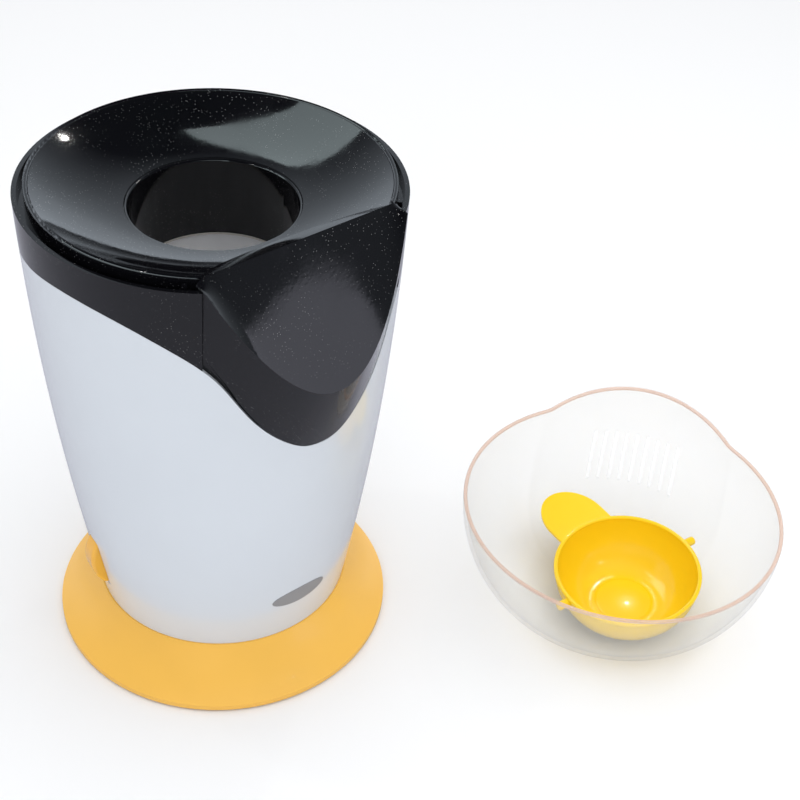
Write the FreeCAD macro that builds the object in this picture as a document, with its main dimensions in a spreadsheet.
"""Hot-air popcorn maker with its lift-off clear cover and measuring cup.

Millimetres, +Z up. The origin is on the table at the machine's own axis, and the spout
faces -Y. The cover lies upside down on the table beside the machine, holding the cup.
"""
import FreeCAD, Part
import Sketcher
import math
import os

from FreeCAD import Placement, Rotation, Vector

doc = FreeCAD.newDocument("PopcornMaker")

# --------------------------------------------------------------------------- driving sizes

SIZES = {
    # outer casing: it swells from a straight line between foot and top by the bulge
    "skirtRadius": 95.3, "skirtEdge": 3.0, "skirtGap": 1.5, "skirtHeight": 28.3,
    "skirtFlare": 58.0, "skirtWall": 2.6, "skirtLedge": 0.9, "spigotHeight": 8.0,
    "shellFoot": 70.8, "shellTop": 95.2, "shellBulge": 4.8, "rimHeight": 279.5,
    "shellWall": 2.2, "fitGap": 0.15, "seamGap": 0.2,
    # collar and its wave-shaped lower edge
    "waveDrop": 16.5, "waveDip": 86.7, "collarWall": 2.4, "collarLap": 8.0, "lapWall": 1.8,
    "ledgeDrop": 4.5, "ledgeWidth": 5.7, "ledgeWall": 3.0,
    # dish, throat and spout
    "dishInset": 5.5, "dishRise": 5.2, "dishDepth": 16.5, "dishWall": 2.2, "dishBend": 110.0,
    "throatRadius": 42.2, "throatLength": 44.2, "spoutHalf": 57.5, "chordInset": 24.2,
    "chordDrop": 0.7, "lipProud": 7.8, "lipDrop": 67.0, "lipRise": 63.6, "lipSlope": 0.4,
    "spoutWall": 2.4, "spoutGap": 0.4,
    # popping chamber and air duct
    "chamberStep": 1.2, "chamberWall": 0.8, "chamberDepth": 75.8, "flangeWidth": 6.6,
    "gasketHeight": 1.4, "ventCount": 20.0, "ventHeight": 12.0, "ventWidth": 2.2,
    "ductRoom": 8.6, "ductWall": 0.8, "ductLap": 8.0, "heaterHeight": 24.0, "heaterInset": 5.4,
    "coilSink": 1.0, "coilWire": 0.6, "coilPitch": 4.0, "coilTurns": 5.0,
    # fan and motor
    "fanFloor": 78.0, "fanHeight": 34.0, "fanWall": 2.0, "inletRadius": 24.0,
    "impellerGap": 6.0, "bladeHeight": 16.0, "shaftRadius": 1.5, "runGap": 0.05,
    "motorRadius": 17.5, "motorHeight": 38.0, "motorWall": 1.2, "bushWall": 2.5,
    # base
    "plateWall": 2.2, "footRadius": 7.0, "footHeight": 2.0, "footInset": 17.3,
    "screwRadius": 1.5, "postRadius": 3.5, "postInset": 6.0,
    # switch and cord inlet
    "switchHeight": 60.5, "switchTall": 30.0, "switchWide": 11.0, "switchProud": 5.5,
    "glandHeight": 45.0, "glandBore": 3.4, "glandWall": 2.6,
    # clear cover, upside down beside the machine
    "coverInset": 2.7, "coverHeight": 73.5, "coverFlat": 28.0, "coverWall": 2.0,
    "hoodInset": 12.1, "hoodShift": 16.6, "hoodRise": 13.0, "hoodStart": 74.0,
    "coverAlong": 181.5, "coverFront": -143.0,
    # measuring cup
    "cupRadius": 43.0, "cupDepth": 31.0, "cupFlat": 20.0, "cupWall": 1.6,
    "cupAlong": 181.0, "cupFront": -158.0, "cupLift": 2.2,
}

sheet = doc.addObject("Spreadsheet::Sheet", "Sizes")
for row, (alias, value) in enumerate(SIZES.items(), start=1):
    sheet.set(f"A{row}", alias)
    sheet.set(f"B{row}", str(value))
    sheet.setAlias(f"B{row}", alias)
doc.recompute()


class Size:
    """A length with its value in millimetres and the sheet expression that drives it."""

    def __init__(self, value, text):
        self.value = float(value)
        self.text = text

    def __add__(self, other):
        other = as_size(other)
        return Size(self.value + other.value, f"({self.text} + {other.text})")

    def __sub__(self, other):
        other = as_size(other)
        return Size(self.value - other.value, f"({self.text} - {other.text})")

    def __mul__(self, share):
        return Size(self.value * share, f"({self.text} * {share:.6f})")

    def __neg__(self):
        return Size(-self.value, f"(0 - {self.text})")

    def __float__(self):
        return self.value


def as_size(length):
    return length if isinstance(length, Size) else Size(length, f"{length:.6f}")


FITS = {}


def size(alias):
    """A size by name: one of the sheet's, or one that follows from them."""
    return FITS[alias] if alias in FITS else Size(SIZES[alias], f"Sizes.{alias}")


def mm(alias):
    return float(size(alias))


def bind(thing, prop, length):
    thing.setExpression(prop, as_size(length).text)


# What follows from the driving sizes, from the rim down and from the wall in.
FITS["waveHigh"] = size("rimHeight") - size("waveDrop")
FITS["waveLow"] = size("waveHigh") - size("waveDip")
FITS["ledgeHeight"] = size("rimHeight") - size("ledgeDrop")
FITS["dishLip"] = size("rimHeight") + size("dishRise")
FITS["throatTop"] = size("dishLip") - size("dishDepth")
FITS["throatFoot"] = size("throatTop") - size("throatLength")
FITS["chordHeight"] = size("dishLip") - size("chordDrop")
FITS["lipLow"] = size("chordHeight") - size("lipDrop")
FITS["dishRadius"] = size("shellTop") - size("dishInset")
FITS["ledgeInner"] = size("dishRadius") - size("ledgeWidth")
FITS["chordFront"] = size("shellTop") - size("chordInset")
FITS["lipReach"] = size("shellTop") + size("lipProud")
FITS["chamberRadius"] = size("throatRadius") + size("chamberStep")
FITS["chamberFlange"] = size("chamberRadius") + size("flangeWidth")
FITS["chamberFloor"] = size("throatFoot") - size("gasketHeight") - size("chamberDepth")
FITS["fanTop"] = size("fanFloor") + size("fanHeight")
FITS["fanRadius"] = size("chamberRadius") + size("ductRoom")
FITS["ductFoot"] = size("fanTop") - size("ductLap")
FITS["heaterHalf"] = size("chamberRadius") - size("heaterInset")
FITS["coilRadius"] = size("heaterHalf") - size("coilSink")
FITS["impellerRadius"] = size("fanRadius") - size("fanWall") - size("impellerGap")
FITS["bushRadius"] = size("shaftRadius") + size("bushWall")
FITS["postPitch"] = size("fanRadius") - size("postInset")
FITS["footPitch"] = size("skirtRadius") - size("footInset")
FITS["glandSleeve"] = size("glandBore") + size("glandWall")
FITS["coverRadius"] = size("shellTop") - size("coverInset")
FITS["hoodRadius"] = size("coverRadius") - size("hoodInset")
FITS["cupFoot"] = size("coverWall") + size("cupLift")


# ----------------------------------------------------------------------- building helpers

def place(thing, x=0.0, y=0.0, z=0.0, rotation=None):
    """Put a feature at x, y, z, with each coordinate bound to the sheet."""
    thing.Placement = Placement(Vector(float(x), float(y), float(z)), rotation or Rotation())
    for prop, length in (("x", x), ("y", y), ("z", z)):
        if isinstance(length, Size):
            bind(thing, f"Placement.Base.{prop}", length)
    return thing


def cylinder(name, radius, height, x=0.0, y=0.0, z=0.0, rotation=None):
    thing = doc.addObject("Part::Cylinder", name)
    thing.Radius, thing.Height = float(radius), float(height)
    bind(thing, "Radius", radius)
    bind(thing, "Height", height)
    return place(thing, x, y, z, rotation)


def box(name, length, width, height, x=0.0, y=0.0, z=0.0, rotation=None):
    thing = doc.addObject("Part::Box", name)
    for prop, measure in (("Length", length), ("Width", width), ("Height", height)):
        setattr(thing, prop, float(measure))
        bind(thing, prop, measure)
    return place(thing, x, y, z, rotation)


def centred_box(name, length, width, height, x=0.0, y=0.0, z=0.0):
    """A box centred on x and y that stands on z."""
    half_x, half_y = as_size(length) * 0.5, as_size(width) * 0.5
    return box(name, length, width, height, as_size(x) - half_x, as_size(y) - half_y, z)


def cut(name, base, *tools):
    for count, tool in enumerate(tools, start=1):
        last = count == len(tools)
        result = doc.addObject("Part::Cut", name if last else f"{name}_step{count}")
        result.Base, result.Tool = base, tool
        base = result
    return base


def fuse(name, *shapes):
    result = doc.addObject("Part::MultiFuse", name)
    result.Shapes = list(shapes)
    return result


def group(name, solids):
    """Identical pieces that share one node stay separate solids in a compound."""
    result = doc.addObject("Part::Compound", name)
    result.Links = list(solids)
    return result


def feature(name, shape, placement=None):
    result = doc.addObject("Part::Feature", name)
    result.Shape = shape
    if placement:
        result.Placement = placement
    return result


def polar(radius, degrees):
    """x and y, bound to the sheet, of a place on a circle."""
    turn = math.radians(degrees)
    return as_size(radius) * math.cos(turn), as_size(radius) * math.sin(turn)


def about_z(degrees):
    return Rotation(Vector(0, 0, 1), degrees)


def origin_plane(body, role):
    return next(f for f in body.Origin.OriginFeatures if f.Role == role)


def attach(sketch, body, role):
    sketch.AttachmentSupport = [(origin_plane(body, role), "")]
    sketch.MapMode = "FlatFace"


def fix_point(sketch, element, which, x, y):
    """Dimension one sketch point from the sketch's origin."""
    for kind, axis, length in (("DistanceX", -2, x), ("DistanceY", -1, y)):
        length = as_size(length)
        if abs(length.value) < 1e-9:
            sketch.addConstraint(Sketcher.Constraint("PointOnObject", element, which, axis))
            continue
        row = sketch.addConstraint(
            Sketcher.Constraint(kind, -1, 1, element, which, length.value))
        sketch.setExpression(f"Constraints[{row}]", length.text)


def arc_between(start, end, bulge_radius):
    """The shorter arc between two points, and whether it runs from start to end. It bulges to
    the left of start -> end when the radius is positive, and to the right when negative."""
    radius = abs(bulge_radius)
    chord = end - start
    left = Vector(-chord.y, chord.x, 0).normalize()
    side = 1 if bulge_radius > 0 else -1
    centre = (start + end) * 0.5 - left * side * math.sqrt(radius ** 2 - (chord.Length / 2) ** 2)
    first, last = (end, start) if side > 0 else (start, end)
    angles = [math.atan2(p.y - centre.y, p.x - centre.x) for p in (first, last)]
    circle = Part.Circle(centre, Vector(0, 0, 1), radius)
    return Part.ArcOfCircle(circle, *angles), side < 0


def outline(sketch, corners):
    """Draw a closed outline. A corner is (x, y) or (x, y, radius), where the radius bends
    the edge that leaves it."""
    points = [Vector(float(c[0]), float(c[1]), 0) for c in corners]
    ends = []
    for number, corner in enumerate(corners):
        start, end = points[number], points[(number + 1) % len(points)]
        if len(corner) == 2:
            edge = sketch.addGeometry(Part.LineSegment(start, end), False)
            ends.append((edge, 1, 2))
            continue
        arc, forward = arc_between(start, end, float(corner[2]))
        edge = sketch.addGeometry(arc, False)
        ends.append((edge, 1, 2) if forward else (edge, 2, 1))
        bend = as_size(corner[2])
        bend = bend if bend.value > 0 else -bend
        row = sketch.addConstraint(Sketcher.Constraint("Radius", edge, bend.value))
        sketch.setExpression(f"Constraints[{row}]", bend.text)
    for number, corner in enumerate(corners):
        edge, start, _ = ends[number]
        before, _, finish = ends[number - 1]
        sketch.addConstraint(Sketcher.Constraint("Coincident", before, finish, edge, start))
        fix_point(sketch, edge, start, corner[0], corner[1])


def revolved(name, corners):
    """A PartDesign body turned about Z from an outline of (radius, height) corners."""
    body = doc.addObject("PartDesign::Body", name)
    sketch = body.newObject("Sketcher::SketchObject", f"{name}_outline")
    attach(sketch, body, "XZ_Plane")
    outline(sketch, corners)
    turn = body.newObject("PartDesign::Revolution", f"{name}_turn")
    turn.Profile = sketch
    turn.ReferenceAxis = (sketch, ["V_Axis"])
    turn.Angle = 360.0
    doc.recompute()
    return body


def ring(name, outer, inner, height, z):
    """A flat-ended ring or tube."""
    top = as_size(z) + height
    return revolved(name, [(inner, z), (outer, z), (outer, top), (inner, top)])


# ------------------------------------------------------------------------ casing outlines

def circle_through(points):
    """Centre and radius of the circle through three (radius, height) points."""
    (ax, ay), (bx, by), (cx, cy) = points
    d = 2 * (ax * (by - cy) + bx * (cy - ay) + cx * (ay - by))
    a, b, c = ax ** 2 + ay ** 2, bx ** 2 + by ** 2, cx ** 2 + cy ** 2
    x = (a * (by - cy) + b * (cy - ay) + c * (ay - by)) / d
    y = (a * (cx - bx) + b * (ax - cx) + c * (bx - ax)) / d
    return x, y, math.hypot(ax - x, ay - y)


CASING = circle_through([
    (mm("shellFoot"), mm("skirtHeight")),
    ((mm("shellFoot") + mm("shellTop")) / 2 + mm("shellBulge"),
     (mm("skirtHeight") + mm("rimHeight")) / 2),
    (mm("shellTop"), mm("rimHeight")),
])


def casing_radius(z):
    """Outer radius of the gently barrelled casing at a height."""
    x, y, radius = CASING
    return x + math.sqrt(radius ** 2 - (z - y) ** 2)


def casing_point(z, depth=0.0):
    return Vector(casing_radius(z) - depth, 0, z)


SEAM_TURN = 90.0


def casing_ring(low, high, outer_depth, inner_depth):
    """A shell that follows the casing's barrel between two heights and two depths."""
    middle = (low + high) / 2
    a, b = casing_point(low, outer_depth), casing_point(high, outer_depth)
    c, d = casing_point(high, inner_depth), casing_point(low, inner_depth)
    edges = [
        Part.Arc(a, casing_point(middle, outer_depth), b).toShape(),
        Part.makeLine(b, c),
        Part.Arc(c, casing_point(middle, inner_depth), d).toShape(),
        Part.makeLine(d, a),
    ]
    section = Part.Face(Part.Wire(edges))
    section.rotate(Vector(0, 0, 0), Vector(0, 0, 1), SEAM_TURN)
    return section.revolve(Vector(0, 0, 0), Vector(0, 0, 1), 360)


# The wave round the casing: degrees from the spout's middle, and share of the full rise.
WAVE_SHAPE = [(0, 0), (11, 0.066), (20, 0.227), (27, 0.423), (34, 0.67), (39, 0.79), (45, 0.87),
              (53, 0.935), (62, 0.98), (73, 1.0), (88, 0.97), (102, 0.92), (130, 0.89), (180, 0.89)]


def wave_line():
    """The wave unrolled: degrees from the spout along X, height along Y."""
    rise = mm("waveHigh") - mm("waveLow")
    points = [Vector(turn, mm("waveLow") + rise * share, 0) for turn, share in WAVE_SHAPE]
    curve = Part.BSplineCurve()
    curve.interpolate(Points=points, InitialTangent=Vector(1, 0, 0), FinalTangent=Vector(1, 0, 0))
    return curve


WAVE = wave_line()


def wave_at(turn):
    """Height of the wave at an angle to either side of the spout."""
    turn = min(max(abs(turn), 0.001), 179.999)
    return WAVE.intersect(Part.Line(Vector(turn, 0, 0), Vector(turn, 1, 0)))[0].Y


def wave_height(x):
    """Height of the wave on the casing at a distance to the side."""
    z = mm("waveLow")
    for _ in range(12):
        z = wave_at(math.degrees(math.asin(x / casing_radius(z))))
    return z


def wave_ring(radius):
    """The wave as a closed curve at a radius from the axis."""
    points = []
    for step in range(60):
        turn = step * 6.0
        angle = math.radians(turn - 90.0)
        height = wave_at(turn if turn <= 180.0 else 360.0 - turn)
        points.append(Vector(radius * math.cos(angle), radius * math.sin(angle), height))
    curve = Part.BSplineCurve()
    curve.interpolate(Points=points, PeriodicFlag=True)
    return curve.toShape()


WAVE_FACE = Part.makeRuledSurface(wave_ring(mm("shellFoot") * 0.7), wave_ring(mm("shellTop") * 1.4))


def above_wave(shift):
    """Everything round the axis that is above the wave moved up by shift."""
    solid = WAVE_FACE.extrude(Vector(0, 0, mm("rimHeight")))
    solid.translate(Vector(0, 0, shift))
    return solid


def bound_block(width, low_y, high_y, low_z, high_z):
    """A block centred on x."""
    return Part.makeBox(width, high_y - low_y, high_z - low_z, Vector(-width / 2, low_y, low_z))


# ----------------------------------------------------------------------------- the casing

BASE_SCREW_TURNS = [0, 90, 180, 270]
SCREW_HEAD = 1.2
SCREW_SPARE = 3.0
FOOT_TURNS = [45, 135, 225, 315]
FOOT_STEM = 3.0
PLATE_FLOOR = size("footHeight")
PLATE_TOP = PLATE_FLOOR + size("plateWall")
PLATE_RADIUS = size("skirtRadius") - size("skirtWall") - size("fitGap")
FLARE_RISE = size("skirtHeight") - size("skirtGap")
BOSS_TOP = size("skirtGap") + FLARE_RISE * 0.41
BOSS_RADIUS = 4.2
BOSS_ROOF = 1.6


def make_base_skirt():
    """The flared yellow skirt, with a spigot for the body and bosses for the base plate."""
    edge_top = size("skirtGap") + size("skirtEdge")
    spigot = size("shellFoot") - size("shellWall") - size("fitGap")
    inner = spigot - size("skirtWall")
    turned = revolved("skirt_ring", [
        (size("skirtRadius") - size("skirtWall"), size("skirtGap")),
        (size("skirtRadius"), size("skirtGap")),
        (size("skirtRadius"), edge_top, size("skirtFlare")),
        (size("shellFoot") + size("skirtLedge"), size("skirtHeight")),
        (spigot, size("skirtHeight")),
        (spigot, size("skirtHeight") + size("spigotHeight")),
        (inner, size("skirtHeight") + size("spigotHeight")),
        (inner, size("skirtHeight") - size("skirtWall"), -(size("skirtFlare") + size("skirtWall"))),
        (size("skirtRadius") - size("skirtWall"), edge_top),
    ])
    bosses = []
    for turn in BASE_SCREW_TURNS:
        x, y = polar(size("footPitch"), turn)
        boss = cylinder(f"skirt_boss_{turn}", BOSS_RADIUS, BOSS_TOP - PLATE_TOP, x, y, PLATE_TOP)
        bore = cylinder(f"skirt_bore_{turn}", size("screwRadius") + 0.1,
                        BOSS_TOP - PLATE_TOP - BOSS_ROOF, x, y, PLATE_TOP)
        bosses.append(cut(f"skirt_post_{turn}", boss, bore))
    return fuse("base_skirt", turned, *bosses)


def slot_pattern(body, tag, radius, length, width, count):
    """Cut a circle of radial air slots through a plate."""
    before = body.Shape.Volume
    sketch = body.newObject("Sketcher::SketchObject", f"{tag}_sketch")
    attach(sketch, body, "XY_Plane")
    low, high = as_size(radius), as_size(radius) + length
    outline(sketch, [(low, -as_size(width) * 0.5), (high, -as_size(width) * 0.5),
                     (high, as_size(width) * 0.5), (low, as_size(width) * 0.5)])
    pocket = body.newObject("PartDesign::Pocket", f"{tag}_pocket")
    pocket.Profile = sketch
    pocket.Type = 1
    pocket.Midplane = True
    doc.recompute()
    if body.Shape.Volume >= before:
        raise RuntimeError(f"{tag} cuts nothing")
    pattern = body.newObject("PartDesign::PolarPattern", f"{tag}_pattern")
    pattern.Originals = [pocket]
    pattern.Axis = (sketch, ["N_Axis"])
    pattern.Angle = 360.0
    pattern.Occurrences = count
    body.Tip = pattern
    doc.recompute()


def make_bottom_plate():
    """The base plate: two rings of air slots, and holes for the feet and screws."""
    plate = revolved("plate_disc", [
        (0, PLATE_FLOOR), (PLATE_RADIUS, PLATE_FLOOR), (PLATE_RADIUS, PLATE_TOP), (0, PLATE_TOP)])
    slot_pattern(plate, "inner_slots", 14.0, 22.0, 3.0, 18)
    slot_pattern(plate, "outer_slots", 52.0, 14.0, 3.2, 36)
    holes = []
    for turns, radius in ((BASE_SCREW_TURNS, size("screwRadius") + 0.2),
                          (FOOT_TURNS, FOOT_STEM + 0.1)):
        for turn in turns:
            x, y = polar(size("footPitch"), turn)
            holes.append(cylinder(f"plate_hole_{turn}", radius, 10.0, x, y, 0.0))
    return cut("bottom_plate", plate, group("plate_holes", holes))


def make_rubber_feet():
    feet = []
    for turn in FOOT_TURNS:
        x, y = polar(size("footPitch"), turn)
        pad = cylinder(f"foot_pad_{turn}", size("footRadius"), size("footHeight"), x, y, 0.0)
        stem = cylinder(f"foot_stem_{turn}", FOOT_STEM, PLATE_TOP + 1.0, x, y, 0.0)
        feet.append(fuse(f"foot_{turn}", pad, stem))
    return group("rubber_feet", feet)


def make_base_screws():
    screws = []
    for turn in BASE_SCREW_TURNS:
        x, y = polar(size("footPitch"), turn)
        head_floor = PLATE_FLOOR - SCREW_HEAD
        head = cylinder(f"base_head_{turn}", size("screwRadius") * 2.0, SCREW_HEAD, x, y, head_floor)
        shank = cylinder(f"base_shank_{turn}", size("screwRadius"),
                         BOSS_TOP - head_floor - SCREW_SPARE, x, y, head_floor)
        screws.append(fuse(f"base_screw_{turn}", head, shank))
    return group("base_screws", screws)


# The switch leans with the casing's wall. Its depths are measured in from the wall's face.
SWITCH_TURN = 171.5
SWITCH_FACE = casing_radius(mm("switchHeight"))
SWITCH_LEAN = math.degrees(math.asin((CASING[1] - mm("switchHeight")) / CASING[2]))
FRAME_WALL = 2.4
FRAME_ROUNDING = 3.0
FRAME_DEPTH = 14.0
FRAME_SINK = 0.6
FLANGE_WIDTH = 2.0
FLANGE_SINK = 3.6
PIN_DEPTH = 3.2
PIN_RADIUS = 1.2
ROCKER_DEPTH = 5.5
ROCKER_GAP = 0.4
ROCKER_TILT = 4.0
ROCKER_ROUNDING = 2.0
HOUSING_DEPTH = 14.0
BLADE_PLACES = (-8.0, 8.0)


def switch_spot(distance, z=0.0):
    """A point on the switch's line, out from the axis."""
    turn = math.radians(SWITCH_TURN)
    return Vector(distance * math.cos(turn), distance * math.sin(turn), z)


def switch_block(depth, wide, tall, outer, rounding=0.0, lift=0.0):
    """A block square to the switch's line whose outer face is at a distance."""
    block = Part.makeBox(depth, wide, tall, Vector(outer - depth, -wide / 2, lift - tall / 2))
    if rounding:
        block = block.makeFillet(rounding, [e for e in block.Edges if is_along(e, 0)])
    return to_switch(block)


def to_switch(shape):
    """Lean a shape with the casing's wall, and turn and lift it to the switch's place."""
    shape.rotate(Vector(SWITCH_FACE, 0, 0), Vector(0, 1, 0), SWITCH_LEAN)
    shape.rotate(Vector(0, 0, 0), Vector(0, 0, 1), SWITCH_TURN)
    shape.translate(Vector(0, 0, mm("switchHeight")))
    return shape


def is_along(edge, axis):
    """Whether a straight edge runs along X (0), Y (1) or Z (2)."""
    run = edge.Vertexes[-1].Point - edge.Vertexes[0].Point
    return abs(abs(run[axis]) - run.Length) < 1e-6


def make_body_shell():
    """The white casing under the wave, with the switch and cord openings."""
    shell = casing_ring(mm("skirtHeight"), mm("waveHigh") + 1.0, 0.0, mm("shellWall"))
    shell = shell.cut(above_wave(0.0))
    room = 2 * (FRAME_WALL + 0.1)
    opening = switch_block(30.0, mm("switchWide") + room, mm("switchTall") + room,
                           SWITCH_FACE + 10.0, FRAME_ROUNDING)
    inlet = Part.makeCylinder(mm("glandSleeve") + 0.15, 40.0, Vector(0, 50.0, mm("glandHeight")),
                              Vector(0, 1, 0))
    return feature("body_shell", shell.cut(opening).cut(inlet))


SPOUT_CUT = 2 * (mm("spoutHalf") + 0.15)


def make_upper_collar():
    """The black band: flush with the casing, with a lap inside it and the cover's groove."""
    band = casing_ring(mm("waveLow") - 1.0, mm("rimHeight"), 0.0, mm("collarWall"))
    band = band.common(above_wave(mm("fitGap")))
    lap = casing_ring(mm("waveHigh") - mm("collarLap") - 60.0, mm("waveHigh") + 8.0,
                      mm("shellWall") + mm("fitGap"), mm("collarWall") + mm("lapWall"))
    lap = lap.common(above_wave(-mm("collarLap"))).cut(above_wave(4.0))
    ledge_floor = mm("ledgeHeight") - mm("ledgeWall")
    ledge_outer = casing_radius(ledge_floor) - mm("collarWall") + 0.5
    ledge = Part.makeCylinder(ledge_outer, mm("ledgeWall"), Vector(0, 0, ledge_floor))
    ledge = ledge.cut(Part.makeCylinder(mm("ledgeInner"), 10.0, Vector(0, 0, ledge_floor - 1)))
    front = bound_block(SPOUT_CUT, -2 * mm("shellTop"), -0.7 * mm("chordFront"), 0.0,
                        2 * mm("rimHeight"))
    return feature("upper_collar", band.fuse([lap, ledge]).cut(front))


# --------------------------------------------------------------------------- dish and spout

LIP_DROP = 1.2
LIP_BEND = 1.5
LIP_WIDTH = 2.7
THROAT_DROP = 1.3
THROAT_BEND = 1.4
RAMP_START = 3.6
RAMP_LIFT = 0.1
RAMP_THIN = 4.0
RAMP_THICK = 9.0


def make_top_dish():
    """The hollow top with its rounded lip, the throat tube and the ramp up to the spout."""
    throat_outer = size("throatRadius") + size("dishWall")
    turned = revolved("dish_turned", [
        (size("throatRadius"), size("throatFoot")),
        (throat_outer, size("throatFoot")),
        (throat_outer, size("throatTop") - size("dishWall"), -size("dishBend")),
        (size("dishRadius") - size("dishWall"), size("dishLip") - size("dishWall") * 1.6),
        (size("dishRadius") - size("dishWall"), size("ledgeHeight")),
        (size("dishRadius"), size("ledgeHeight")),
        (size("dishRadius"), size("dishLip") - LIP_DROP, LIP_BEND),
        (size("dishRadius") - LIP_WIDTH, size("dishLip") - LIP_DROP, size("dishBend")),
        (size("throatRadius") + THROAT_DROP, size("throatTop"), THROAT_BEND),
        (size("throatRadius"), size("throatTop") - THROAT_DROP),
    ])
    start = mm("throatRadius") + RAMP_START
    start_z = mm("throatTop") + RAMP_LIFT
    front = mm("chordFront") - mm("seamGap")
    profile = Part.makePolygon([
        Vector(0, -start, start_z), Vector(0, -front, mm("chordHeight")),
        Vector(0, -front, mm("chordHeight") - RAMP_THICK), Vector(0, -start, start_z - RAMP_THIN),
        Vector(0, -start, start_z)])
    ramp = Part.Face(profile).extrude(Vector(2 * mm("spoutHalf"), 0, 0))
    ramp.translate(Vector(-mm("spoutHalf"), 0, 0))
    ramp = ramp.common(Part.makeCylinder(mm("dishRadius") - 1.0, 2 * mm("rimHeight")))
    dish = fuse("dish_whole", turned, feature("dish_ramp", ramp))
    removed = feature("dish_front", bound_block(2 * mm("dishRadius"), -2 * mm("dishRadius"), -front,
                                                mm("throatTop"), mm("dishLip") + 10.0))
    return cut("top_dish", dish, removed)


def casing_y(x, z, depth=0.0):
    """The front of the casing at a place to the side and a height."""
    return -math.sqrt((casing_radius(z) - depth) ** 2 - x ** 2)


def lip_point(x):
    """The spout's lip: a parabola in a plane that leans forward as it falls."""
    z = mm("lipLow") + mm("lipRise") * (x / mm("spoutHalf")) ** 2
    lean = mm("lipReach") - mm("lipSlope") * (z - mm("lipLow"))
    return Vector(x, -lean, z)


CORNER_EASE = 4.5


def spout_section(x):
    """Closed outline of the spout at one place across: trough, lip, bib and lap."""
    ease = max(0.0, 1 - (mm("spoutHalf") - abs(x)) / CORNER_EASE)
    chord = Vector(x, -mm("chordFront"), mm("chordHeight") - 3.0 * ease ** 2)
    lip = lip_point(x)
    foot = wave_height(x) + mm("spoutGap")
    lap_top, lap_foot = foot + 3.0, foot - mm("collarLap")
    inner = mm("shellWall") + mm("fitGap")
    back = inner + mm("lapWall")
    corners = [
        chord,
        lip,
        Vector(x, casing_y(x, foot), foot),
        Vector(x, casing_y(x, foot, inner), foot),
        Vector(x, casing_y(x, lap_foot, inner), lap_foot),
        Vector(x, casing_y(x, lap_foot, back), lap_foot),
        Vector(x, casing_y(x, lap_top, back), lap_top),
        lip + Vector(0, mm("spoutWall"), 0),
        Vector(x, -mm("chordFront"), mm("ledgeHeight")),
    ]
    return Part.makePolygon(corners + corners[:1])


def make_spout():
    half = mm("spoutHalf")
    shares = (0, 0.12, 0.23, 0.35, 0.47, 0.59, 0.7, 0.79, 0.88, 0.94, 1)
    places = [-half * share for share in shares[:0:-1]] + [half * share for share in shares]
    return feature("spout_chute", Part.makeLoft([spout_section(x) for x in places], True, False))


CATCH_DEPTH = 2.4
CATCH_STEPS = ((5.0, 3.4), (2.4, 6.2))


def make_cover_catches():
    """Two stepped catches in the groove beside the spout that hold the cover's ends."""
    catches = []
    for side in (-1, 1):
        inner = mm("dishRadius") + mm("fitGap")
        turn = -90 + side * math.degrees(math.asin((mm("spoutHalf") + 2.8) / inner))
        low, high = [Part.makeBox(CATCH_DEPTH, wide, tall, Vector(inner, -wide / 2, mm("ledgeHeight")))
                     for wide, tall in CATCH_STEPS]
        catch = low.fuse(high).removeSplitter()
        catch.rotate(Vector(0, 0, 0), Vector(0, 0, 1), turn)
        catches.append(catch)
    return feature("cover_catches", Part.makeCompound(catches))


# ------------------------------------------------------------------ chamber, duct and heater

FLANGE_TOP = size("throatFoot") - size("gasketHeight")
FLANGE_FLOOR = FLANGE_TOP - size("chamberWall")
CHAMBER_OUTER = size("chamberRadius") + size("chamberWall")
DUCT_INNER = size("fanRadius") + 0.1
DUCT_OUTER = DUCT_INNER + size("ductWall")
MICA_TOP = size("fanTop") + 1.0
CHAMBER_BEVEL = 8.0
CHAMBER_SHOULDER = 6.0
CHAMBER_DOME = 2.0
VENT_LIFT = 8.0
VENT_REACH = 8.0
VENT_SLANT = 55.0
DUCT_SCREW = 1.3
DUCT_HEAD = 1.4


def make_chamber_gasket():
    return ring("chamber_gasket", size("chamberFlange"), size("throatRadius") + 0.2,
                size("gasketHeight"), FLANGE_TOP)


def make_popping_chamber():
    """The aluminium cup, with angled air vents round the foot of its wall."""
    floor = size("chamberFloor")
    half_wall = size("chamberWall") * 0.5
    cup = revolved("chamber_cup", [
        (0, floor + CHAMBER_DOME), (size("chamberRadius") - CHAMBER_BEVEL, floor),
        (size("chamberRadius"), floor + CHAMBER_SHOULDER), (size("chamberRadius"), FLANGE_TOP),
        (size("chamberFlange"), FLANGE_TOP), (size("chamberFlange"), FLANGE_FLOOR),
        (CHAMBER_OUTER, FLANGE_FLOOR), (CHAMBER_OUTER, floor + CHAMBER_SHOULDER - half_wall),
        (size("chamberRadius") - CHAMBER_BEVEL + half_wall, floor - size("chamberWall")),
        (0, floor + CHAMBER_DOME - size("chamberWall"))])
    vents = []
    for number in range(int(mm("ventCount"))):
        turn = number * 360.0 / mm("ventCount")
        x, y = polar(size("chamberRadius"), turn)
        vents.append(box(f"vent_{number}", size("ventWidth"), VENT_REACH, size("ventHeight"), x, y,
                         floor + VENT_LIFT, about_z(turn - VENT_SLANT)))
    to_middle = Placement(Vector(-mm("ventWidth") / 2, -VENT_REACH / 2, 0), Rotation())
    for vent in vents:
        vent.Placement = vent.Placement.multiply(to_middle)
        for axis in "xy":
            vent.setExpression(f"Placement.Base.{axis}", None)
    return cut("popping_chamber", cup, group("vents", vents))


def screw_turns(first=30.0, count=3):
    return [first + number * 360.0 / count for number in range(count)]


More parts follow.
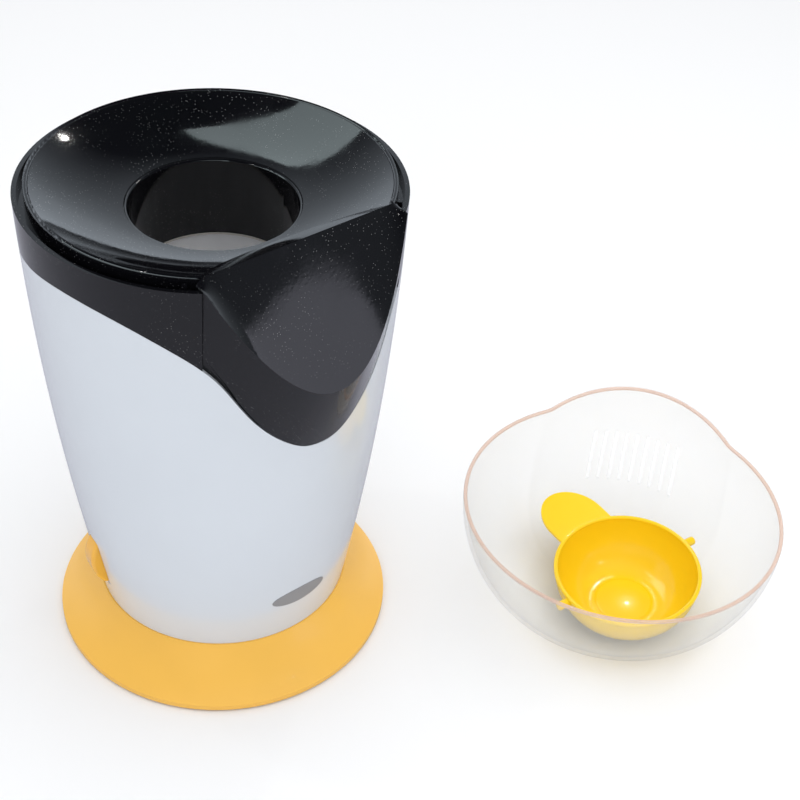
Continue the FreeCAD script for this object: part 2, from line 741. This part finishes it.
def radial_cylinders(tag, radius, length, start, z, turns):
    """Cylinders that point out from the axis at a height."""
    parts = []
    for turn in turns:
        x, y = polar(start, turn)
        outward = Rotation(Vector(0, 0, 1), Vector(math.cos(math.radians(turn)),
                                                   math.sin(math.radians(turn)), 0))
        parts.append(cylinder(f"{tag}_{int(turn)}", radius, length, x, y, z, outward))
    return parts


DUCT_SCREW_HEIGHT = size("ductFoot") + 4.0


def make_air_duct():
    """The steel duct: it sleeves over the fan housing and its lid carries the chamber."""
    tube = revolved("duct_tube", [
        (DUCT_INNER, size("ductFoot")), (DUCT_OUTER, size("ductFoot")),
        (DUCT_OUTER, FLANGE_FLOOR), (CHAMBER_OUTER + 0.4, FLANGE_FLOOR),
        (CHAMBER_OUTER + 0.4, FLANGE_FLOOR - size("ductWall")),
        (DUCT_INNER, FLANGE_FLOOR - size("ductWall"))])
    holes = radial_cylinders("duct_hole", DUCT_SCREW + 0.1, 12.0, size("fanRadius") - 6.0,
                             DUCT_SCREW_HEIGHT, screw_turns())
    return cut("air_duct", tube, group("duct_holes", holes))


def make_duct_screws():
    screws = []
    shanks = radial_cylinders("duct_shank", DUCT_SCREW, size("ductWall") + size("fanWall") + 3.0,
                              DUCT_OUTER - size("ductWall") - size("fanWall") - 2.5,
                              DUCT_SCREW_HEIGHT, screw_turns())
    heads = radial_cylinders("duct_head", 2 * DUCT_SCREW, DUCT_HEAD, DUCT_OUTER + 0.1,
                             DUCT_SCREW_HEIGHT, screw_turns())
    for number, (shank, head) in enumerate(zip(shanks, heads)):
        screws.append(fuse(f"duct_screw_{number}", shank, head))
    return group("duct_screws", screws)


def make_mica_ring():
    return ring("mica_ring", size("fanRadius") - 0.1, size("heaterHalf") - 2.0,
                MICA_TOP - size("fanTop"), size("fanTop"))


COIL_FLOOR = MICA_TOP + 3.0


def make_heater_cross():
    """Two crossed mica boards, notched where the heating wire goes round them."""
    half, tall, thick = size("heaterHalf"), size("heaterHeight"), 1.0
    boards = [centred_box("mica_x", half * 2.0, thick, tall, 0.0, 0.0, MICA_TOP),
              centred_box("mica_y", thick, half * 2.0, tall, 0.0, 0.0, MICA_TOP)]
    notches = []
    room = mm("coilWire") + 0.25
    for number in range(int(mm("coilTurns")) * 4):
        turn = number * 90.0
        z = COIL_FLOOR.value + mm("coilPitch") * turn / 360.0
        notch = Part.makeBox(4.0, 4.0, 2 * room, Vector(mm("coilRadius") - room, -2.0, z - room))
        notch.rotate(Vector(0, 0, 0), Vector(0, 0, 1), turn)
        notches.append(notch)
    last = Part.makeBox(4.0, 4.0, 2 * room, Vector(mm("coilRadius") - room, -2.0,
                        COIL_FLOOR.value + mm("coilPitch") * mm("coilTurns") - room))
    cross = fuse("mica_boards", *boards)
    return cut("heater_cross", cross, feature("coil_notches", Part.makeCompound(notches + [last])))


def coil_point(turn):
    """A place on the coil's centre line after so many turns."""
    angle = 2 * math.pi * turn
    return Vector(mm("coilRadius") * math.cos(angle), mm("coilRadius") * math.sin(angle),
                  COIL_FLOOR.value + mm("coilPitch") * turn)


def make_heater_coil():
    """The heating wire, wound as a helix round the crossed boards, an arc for each quarter."""
    quarters = [number / 4 for number in range(int(mm("coilTurns")) * 4)]
    arcs = [Part.Arc(coil_point(q), coil_point(q + 0.125), coil_point(q + 0.25)).toShape()
            for q in quarters]
    climb = mm("coilPitch") / (2 * math.pi * mm("coilRadius"))
    circle = Part.makeCircle(mm("coilWire"), coil_point(0.0), Vector(0, 1, climb))
    coil = Part.Wire(arcs).makePipeShell([Part.Wire([circle])], True, False)
    return feature("heater_coil", coil)


THERMOSTAT_TURN = 200
FUSE_TURN = 240


def make_thermostat():
    """The over-heat cut-out, a capped can against the duct's side."""
    z = FLANGE_FLOOR - 34.0
    turns = [THERMOSTAT_TURN]
    can = radial_cylinders("thermostat_can", 8.0, 7.0, DUCT_OUTER + 0.8, z, turns)[0]
    cap = radial_cylinders("thermostat_cap", 5.5, 3.0, DUCT_OUTER + 7.8, z, turns)[0]
    plate = radial_cylinders("thermostat_plate", 10.0, 1.4, DUCT_OUTER - 0.6, z, turns)[0]
    trimmed = cut("thermostat_foot", plate, cylinder("thermostat_trim", DUCT_OUTER, 60.0, 0.0, 0.0,
                                                     z - 30.0))
    return fuse("thermostat", can, cap, trimmed)


def make_thermal_fuse():
    """The one-shot fuse, clipped upright on the duct."""
    x, y = polar(DUCT_OUTER + 2.6, FUSE_TURN)
    z = FLANGE_FLOOR - 40.0
    return fuse("thermal_fuse", cylinder("fuse_barrel", 2.0, 12.0, x, y, z),
                cylinder("fuse_leads", 0.5, 30.0, x, y, z - 9.0),
                cut("fuse_clip", cylinder("fuse_clip_block", 3.2, 3.0, x, y, z + 4.5),
                    cylinder("fuse_clip_trim", DUCT_OUTER, 60.0, 0.0, 0.0, z - 20.0)))


# ------------------------------------------------------------------------- fan and motor

def make_fan_housing():
    inner = size("fanRadius") - size("fanWall")
    tub = revolved("housing_tub", [
        (size("inletRadius"), size("fanFloor")), (size("fanRadius"), size("fanFloor")),
        (size("fanRadius"), size("fanTop")), (inner, size("fanTop")),
        (inner, size("fanFloor") + size("fanWall")),
        (size("inletRadius"), size("fanFloor") + size("fanWall"))])
    holes = radial_cylinders("housing_hole", DUCT_SCREW + 0.1, 12.0, size("fanRadius") - 6.0,
                             DUCT_SCREW_HEIGHT, screw_turns())
    return cut("fan_housing", tub, group("housing_holes", holes))


IMPELLER_FLOOR = size("fanFloor") + size("fanWall") + 4.0
HUB_TOP = IMPELLER_FLOOR + size("bladeHeight") - 1.0
HUB_RADIUS = 6.0
BLADE_COUNT = 11
BLADE_START = 13.0
BLADE_RAKE = 14.0
BLADE_WALL = 1.6


def make_impeller():
    """A backplate, a hub bored for the shaft and a ring of blades."""
    plate_top = IMPELLER_FLOOR + BLADE_WALL
    wheel = revolved("impeller_wheel", [
        (size("shaftRadius"), IMPELLER_FLOOR), (size("impellerRadius"), IMPELLER_FLOOR),
        (size("impellerRadius"), plate_top), (HUB_RADIUS, plate_top),
        (HUB_RADIUS, HUB_TOP), (size("shaftRadius"), HUB_TOP)])
    blades = []
    for number in range(BLADE_COUNT):
        turn = number * 360.0 / BLADE_COUNT
        x, y = polar(BLADE_START, turn)
        blades.append(box(f"blade_{number}", size("impellerRadius") - BLADE_START - 1.5, BLADE_WALL,
                          size("bladeHeight"), x, y, IMPELLER_FLOOR, about_z(turn + BLADE_RAKE)))
    return fuse("impeller", wheel, *blades)


BRACKET_WALL = 1.6
MOTOR_TOP = size("fanFloor") - BRACKET_WALL
MOTOR_FLOOR = MOTOR_TOP - size("motorHeight")
SHAFT_FLOOR = MOTOR_FLOOR - 5.0
MOTOR_SCREW = 1.25
MOTOR_SCREW_HOLE = 1.4
MOTOR_SCREW_PITCH = 10.0
CAP_RISE = 2.0
TERMINAL_PITCH = 11.0


def make_motor_shaft():
    return cylinder("motor_shaft", size("shaftRadius"), HUB_TOP + 4.0 - SHAFT_FLOOR,
                    0.0, 0.0, SHAFT_FLOOR)


def make_shaft_clip():
    return ring("shaft_clip", size("shaftRadius") + 2.2, size("shaftRadius"), 1.2, HUB_TOP)


def make_armature():
    return ring("motor_armature", size("motorRadius") - 6.0, size("shaftRadius"),
                size("motorHeight") - 16.0, MOTOR_FLOOR + 8.0)


def make_motor_bracket():
    """Three arms under the fan inlet that carry the motor."""
    plate = cylinder("bracket_plate", size("motorRadius"), BRACKET_WALL, 0.0, 0.0, MOTOR_TOP)
    arms = []
    for turn in screw_turns(90.0):
        arms.append(box(f"bracket_arm_{int(turn)}", size("inletRadius") + 8.0, 9.0, BRACKET_WALL,
                        *polar(-4.5, turn + 90.0), MOTOR_TOP, about_z(turn)))
    hole = cylinder("bracket_hole", size("bushRadius") + 0.1, 6.0, 0.0, 0.0, MOTOR_TOP - 2.0)
    screw_holes = motor_screw_cylinders("bracket_screw_hole", MOTOR_SCREW_HOLE, 6.0, MOTOR_TOP - 2.0)
    return cut("motor_bracket", fuse("bracket_arms", plate, *arms),
               group("bracket_holes", [hole] + screw_holes))


def motor_screw_cylinders(tag, radius, height, z):
    parts = []
    for number, turn in enumerate((0.0, 180.0)):
        x, y = polar(MOTOR_SCREW_PITCH, turn)
        parts.append(cylinder(f"{tag}_{number}", radius, height, x, y, z))
    return parts


def make_motor_screws():
    shanks = motor_screw_cylinders("motor_shank", MOTOR_SCREW, 4.6, MOTOR_TOP - 3.0)
    heads = motor_screw_cylinders("motor_head", 2.4, 1.3, MOTOR_TOP + BRACKET_WALL)
    return group("motor_screws", [fuse(f"motor_screw_{n}", s, h)
                                  for n, (s, h) in enumerate(zip(shanks, heads))])


def make_motor_can():
    inner = size("motorRadius") - size("motorWall")
    can = revolved("can_turned", [
        (size("bushRadius"), MOTOR_TOP), (size("motorRadius"), MOTOR_TOP),
        (size("motorRadius"), MOTOR_FLOOR + CAP_RISE), (inner, MOTOR_FLOOR + CAP_RISE),
        (inner, MOTOR_TOP - size("motorWall")),
        (size("bushRadius"), MOTOR_TOP - size("motorWall"))])
    holes = motor_screw_cylinders("can_hole", MOTOR_SCREW_HOLE, 6.0, MOTOR_TOP - 4.0)
    return cut("motor_can", can, group("can_holes", holes))


def make_motor_magnets():
    """Two curved magnets against the inside of the can."""
    outer = size("motorRadius") - size("motorWall")
    whole = ring("magnet_ring", outer, size("motorRadius") - 5.2, size("motorHeight") - 14.0,
                 MOTOR_FLOOR + 7.0)
    gap = centred_box("magnet_gap", 14.0, 60.0, 60.0, 0.0, 0.0, MOTOR_FLOOR - 10.0)
    return cut("motor_magnets", whole, gap)


def make_motor_end_cap():
    """The plastic cap that closes the can, with its two terminals' slots."""
    cap = revolved("cap_turned", [
        (size("bushRadius"), MOTOR_FLOOR - 1.0), (size("motorRadius"), MOTOR_FLOOR - 1.0),
        (size("motorRadius"), MOTOR_FLOOR + CAP_RISE), (size("bushRadius"), MOTOR_FLOOR + CAP_RISE)])
    slots = terminal_blades("cap_slot", 3.2, 0.8, 8.0, MOTOR_FLOOR - 4.0)
    return cut("motor_end_cap", cap, group("cap_slots", slots))


def terminal_blades(tag, wide, thick, tall, z):
    return [centred_box(f"{tag}_{number}", wide, thick, tall, x, 0.0, z)
            for number, x in enumerate((-TERMINAL_PITCH, TERMINAL_PITCH))]


def make_motor_terminals():
    return group("motor_terminals", terminal_blades("motor_terminal", 3.0, 0.6, 8.0,
                                                    MOTOR_FLOOR - 6.0))


def make_motor_bushes():
    """Sleeve bearings at both ends of the motor, a running fit on the shaft."""
    bore = size("shaftRadius") + size("runGap")
    lower = ring("lower_bush", size("bushRadius"), bore, 5.0, MOTOR_FLOOR - 2.0)
    upper = ring("upper_bush", size("bushRadius"), bore, 5.0, MOTOR_TOP - 4.0)
    return group("motor_bushes", [lower, upper])


BOARD_TOP = MOTOR_FLOOR - 4.0


def make_rectifier_board():
    board = ring("board_disc", 15.0, size("bushRadius") + 1.5, 1.6, BOARD_TOP - 1.6)
    slots = terminal_blades("board_slot", 3.2, 0.8, 8.0, BOARD_TOP - 5.0)
    return cut("rectifier_board", board, group("board_slots", slots))


def make_rectifier_diodes():
    """Four diodes lying on the underside of the board."""
    diodes = []
    for number in range(4):
        x, y = -7.5 + 5.0 * number, 7.5 if number in (1, 2) else 4.5
        diodes.append(cylinder(f"diode_{number}", 1.3, 5.0, x, y - 2.5 if number in (1, 2)
                               else y - 7.0, BOARD_TOP - 2.9,
                               Rotation(Vector(0, 0, 1), Vector(0, 1, 0))))
    return group("rectifier_diodes", diodes)


# -------------------------------------------------------------------------------- base

def make_chassis_posts():
    posts = []
    for turn in screw_turns(90.0):
        x, y = polar(size("postPitch"), turn)
        posts.append(cylinder(f"post_{int(turn)}", size("postRadius"),
                              size("fanFloor") - PLATE_TOP, x, y, PLATE_TOP))
    return group("chassis_posts", posts)


def make_terminal_block():
    base = centred_box("block_base", 26.0, 12.0, 11.0, 16.0, 62.0, PLATE_TOP)
    ways = [cylinder(f"block_way_{n}", 2.2, 20.0, 16.0 + 8.0 * (n - 1), 52.0, PLATE_TOP + 6.0,
                     Rotation(Vector(0, 0, 1), Vector(0, 1, 0))) for n in range(3)]
    return cut("terminal_block", base, group("block_ways", ways))


GLAND_LENGTH = 14.0
GLAND_INSIDE = 10.0
GLAND_LIP = 2.6


def make_cord_gland():
    """The flanged bush in the back of the casing that the mains cord goes through."""
    face = casing_radius(mm("glandHeight"))
    back = Vector(0, 1, 0)
    at = mm("glandHeight")
    sleeve = Part.makeCylinder(mm("glandSleeve"), GLAND_LENGTH, Vector(0, face - GLAND_INSIDE, at),
                               back)
    flange = Part.makeCylinder(mm("glandSleeve") + GLAND_LIP, 4.0, Vector(0, face - 1.7, at), back)
    nut = Part.makeCylinder(mm("glandSleeve") + GLAND_LIP, 3.0, Vector(0, face - 7.6, at), back)
    bore = Part.makeCylinder(mm("glandBore"), 40.0, Vector(0, face - 20.0, at), back)
    rim = flange.makeFillet(0.9, [e for e in flange.Edges if e.CenterOfMass.y > face + 2.0])
    rim = rim.cut(casing_ring(at - 20.0, at + 20.0, -mm("fitGap"), 30.0))
    return feature("cord_gland", sleeve.fuse([rim, nut]).cut(bore).removeSplitter())


# ------------------------------------------------------------------------------- switch

def make_switch_frame():
    """The rounded frame set into the casing round the rocker."""
    wide, tall = mm("switchWide") + 2 * FRAME_WALL, mm("switchTall") + 2 * FRAME_WALL
    outer = switch_block(FRAME_DEPTH, wide, tall, SWITCH_FACE - FRAME_SINK, FRAME_ROUNDING)
    flange = switch_block(1.6, wide + 2 * FLANGE_WIDTH, tall + 2 * FLANGE_WIDTH,
                          SWITCH_FACE - FLANGE_SINK, FRAME_ROUNDING + 1.0)
    window = switch_block(60.0, mm("switchWide") + 2 * ROCKER_GAP, mm("switchTall") + 4 * ROCKER_GAP,
                          SWITCH_FACE + 20.0, 1.0)
    frame = outer.fuse(flange).cut(window).removeSplitter()
    return feature("switch_frame", frame.cut(switch_rod(PIN_RADIUS + mm("runGap"), wide)))


def switch_rod(radius, length):
    """A rod across the switch on the rocker's axis."""
    rod = Part.makeCylinder(radius, length, Vector(SWITCH_FACE - PIN_DEPTH, -length / 2, 0),
                            Vector(0, 1, 0))
    return to_switch(rod)


def make_switch_pin():
    return feature("switch_pin", switch_rod(PIN_RADIUS, mm("switchWide") + 3.4))


def make_switch_rocker():
    """The yellow rocker: a crowned bar bored for its pin, resting with its top pressed in."""
    wide, tall, proud = mm("switchWide"), mm("switchTall"), mm("switchProud")
    face = SWITCH_FACE + proud
    bar = Part.makeBox(proud + ROCKER_DEPTH, wide, tall,
                       Vector(SWITCH_FACE - ROCKER_DEPTH, -wide / 2, -tall / 2))
    crown = tall * 0.86
    bar = bar.common(Part.makeCylinder(crown, wide + 4.0, Vector(face - crown, -wide / 2 - 2.0, 0),
                                       Vector(0, 1, 0)))
    outer = [e for e in bar.Edges if e.CenterOfMass.x > SWITCH_FACE + 1.0]
    rocker = bar.makeFillet(ROCKER_ROUNDING, outer)
    pivot = Vector(SWITCH_FACE - PIN_DEPTH, -wide, 0)
    rocker = rocker.cut(Part.makeCylinder(PIN_RADIUS, 2 * wide, pivot, Vector(0, 1, 0)))
    rocker.rotate(pivot, Vector(0, 1, 0), -ROCKER_TILT)
    return feature("switch_rocker", to_switch(rocker))


def housing_face():
    """Distance of the switch housing's front, just behind the frame."""
    return SWITCH_FACE - FRAME_SINK - FRAME_DEPTH - 0.1


def make_switch_housing():
    """The moulded box behind the rocker that holds its contacts."""
    return feature("switch_housing", switch_block(HOUSING_DEPTH, mm("switchWide") + 4.0,
                                                  mm("switchTall") - 6.0, housing_face(), 1.0))


def make_switch_terminals():
    outer = housing_face() - HOUSING_DEPTH
    blades = [switch_block(8.0, 6.3, 0.8, outer, lift=lift) for lift in BLADE_PLACES]
    return feature("switch_terminals", Part.makeCompound(blades))


# ------------------------------------------------------------------- clear cover and cup

COVER_PLACE = Placement(Vector(mm("coverAlong"), mm("coverFront"), 0), Rotation())
HOOD_TURN = 35.0
SLOT_COUNT = 9
SLOT_PITCH = 6.6
SLOT_WIDTH = 1.8
SLOT_FOOT = 22.0
SLOT_TALL = 30.0
HOOD_FRAME = Placement(Vector(0, 0, 0), about_z(HOOD_TURN))


def bowl(outer, flat, floor, top, rise=0.0):
    """A round bowl: flat in the middle, then a quarter ellipse up to its rim, and a straight
    wall of height rise above it."""
    height = top - floor
    major, minor = max(outer - flat, height), min(outer - flat, height)
    ellipse = Part.Ellipse(Vector(0, 0, 0), major, minor)
    if height > outer - flat:
        arc = ellipse.toShape()
        arc.rotate(Vector(0, 0, 0), Vector(0, 0, 1), 90)
    else:
        arc = ellipse.toShape()
    arc.rotate(Vector(0, 0, 0), Vector(1, 0, 0), 90)
    arc.translate(Vector(flat, 0, top))
    keep = Part.makePolygon([Vector(flat, 0, floor - 1), Vector(outer + 1, 0, floor - 1),
                             Vector(outer + 1, 0, top), Vector(flat, 0, top),
                             Vector(flat, 0, floor - 1)])
    side = Part.Face(Part.Wire(arc.Edges)).common(Part.Face(keep))
    middle = Part.Face(Part.makePolygon([Vector(0, 0, floor), Vector(flat, 0, floor),
                                         Vector(flat, 0, top), Vector(0, 0, top),
                                         Vector(0, 0, floor)]))
    section = side.fuse(middle).removeSplitter().Faces
    solid = None
    for face in section:
        turned = face.revolve(Vector(0, 0, 0), Vector(0, 0, 1), 360)
        solid = turned if solid is None else solid.fuse(turned)
    if rise:
        solid = solid.fuse(Part.makeCylinder(outer, rise, Vector(0, 0, top)))
    return solid.removeSplitter()


def cover_solid(depth):
    """The cover's filled outer form, shrunk by a depth: the dome and its hood."""
    top, floor = mm("coverHeight"), depth
    dome = bowl(mm("coverRadius") - depth, mm("coverFlat"), floor, top)
    hood = bowl(mm("hoodRadius") - depth, mm("coverFlat"), floor, top, 3 * mm("hoodRise"))
    hood.translate(Vector(mm("hoodShift"), 0, 0))
    return dome.fuse(hood)


def make_clear_cover():
    """The clear cover, rim up: a round dome whose front hood stands above the rim."""
    top = mm("coverHeight")
    shell = cover_solid(0.0).cut(cover_solid(mm("coverWall")))
    open_top = Part.makeBox(400, 400, 200, Vector(-400 + mm("hoodStart"), -200, top))
    reach = mm("hoodShift") + mm("hoodRadius") - mm("hoodStart")
    lean = math.degrees(math.atan2(mm("hoodRise"), reach))
    above = Part.makeBox(200, 400, 200, Vector(0, -200, 0))
    above.rotate(Vector(0, 0, 0), Vector(0, 1, 0), -lean)
    above.translate(Vector(mm("hoodStart"), 0, top))
    shell = shell.cut(open_top).cut(above)
    inner_top = Part.makeCylinder(mm("coverRadius") - mm("coverWall"), 60.0, Vector(0, 0, top))
    shell = shell.cut(inner_top)
    slots = []
    for number in range(SLOT_COUNT):
        across = (number - (SLOT_COUNT - 1) / 2) * SLOT_PITCH
        slots.append(Part.makeBox(60.0, SLOT_WIDTH, SLOT_TALL,
                                  Vector(60.0, across - SLOT_WIDTH / 2, SLOT_FOOT)))
    shell = shell.cut(Part.makeCompound(slots))
    cover = max(shell.Solids, key=lambda solid: solid.Volume)
    cover.Placement = COVER_PLACE.multiply(HOOD_FRAME)
    return feature("clear_cover", cover)


CUP_TILT = 5.0
CUP_PIN_TURN = -9.0
CUP_HANDLE_TURN = 83.5
TONGUE_RADIUS = 19.0
TONGUE_REACH = 11.0
TONGUE_WALL = 2.0
PIN_REACH = 7.0
TRUNNION_RADIUS = 2.6
TRUNNION_DROP = 4.0


def make_measuring_cup():
    """The round measuring cup with two trunnion pins and a flat tongue for a handle."""
    rim, wall, depth = mm("cupRadius"), mm("cupWall"), mm("cupDepth")
    cup = bowl(rim, mm("cupFlat"), 0.0, depth)
    under = depth - TONGUE_WALL
    handle = Part.makeCylinder(TONGUE_RADIUS, TONGUE_WALL, Vector(rim + TONGUE_REACH, 0, under))
    handle = handle.fuse(Part.makeBox(24.0, 2 * TONGUE_RADIUS, TONGUE_WALL,
                                      Vector(rim + TONGUE_REACH - 24.0, -TONGUE_RADIUS, under)))
    handle.rotate(Vector(0, 0, 0), Vector(0, 0, 1), CUP_HANDLE_TURN)
    reach = rim + PIN_REACH
    pins = Part.makeCylinder(TRUNNION_RADIUS, 2 * reach, Vector(-reach, 0, depth - TRUNNION_DROP),
                             Vector(1, 0, 0))
    pins.rotate(Vector(0, 0, 0), Vector(0, 0, 1), CUP_PIN_TURN)
    inside = bowl(rim - wall, mm("cupFlat") - 0.6, wall, depth + 0.01)
    cup = cup.fuse([handle.removeSplitter(), pins]).cut(inside).removeSplitter()
    lean = Rotation(Vector(0, 1, 0), -CUP_TILT)
    return feature("measuring_cup", cup.Solids[0],
                   Placement(Vector(mm("cupAlong"), mm("cupFront"), mm("cupFoot")), lean))


# --------------------------------------------------------------------- build and export

MAKERS = [
    make_base_skirt, make_bottom_plate, make_rubber_feet, make_base_screws, make_body_shell,
    make_upper_collar, make_top_dish, make_spout, make_cover_catches, make_chamber_gasket,
    make_popping_chamber, make_air_duct, make_duct_screws, make_mica_ring, make_heater_cross,
    make_heater_coil, make_thermostat, make_thermal_fuse, make_fan_housing, make_impeller,
    make_motor_shaft, make_shaft_clip, make_armature, make_motor_bracket, make_motor_screws,
    make_motor_can, make_motor_magnets, make_motor_end_cap, make_motor_terminals,
    make_motor_bushes, make_rectifier_board, make_rectifier_diodes, make_chassis_posts,
    make_terminal_block, make_cord_gland, make_switch_frame, make_switch_rocker,
    make_switch_pin, make_switch_housing, make_switch_terminals, make_clear_cover,
    make_measuring_cup,
]

nodes = []
for make in MAKERS:
    node = make()
    doc.recompute()
    nodes.append(node)

for thing in doc.Objects:
    if any(word in thing.State for word in ("Invalid", "Error")):
        raise RuntimeError(f"{thing.Label} failed: {thing.State}")
for node in nodes:
    if node.Shape.isNull() or not node.Shape.isValid():
        raise RuntimeError(f"{node.Label} has no valid shape")

os.makedirs("parts", exist_ok=True)
for node in nodes:
    node.Shape.exportStep(f"parts/{node.Label}.step")
    box_size = node.Shape.BoundBox
    print(f"{node.Label:18s} {len(node.Shape.Solids)} solids, {node.Shape.Volume / 1000:9.2f} cm3, "
          f"z {box_size.ZMin:.1f} to {box_size.ZMax:.1f}")
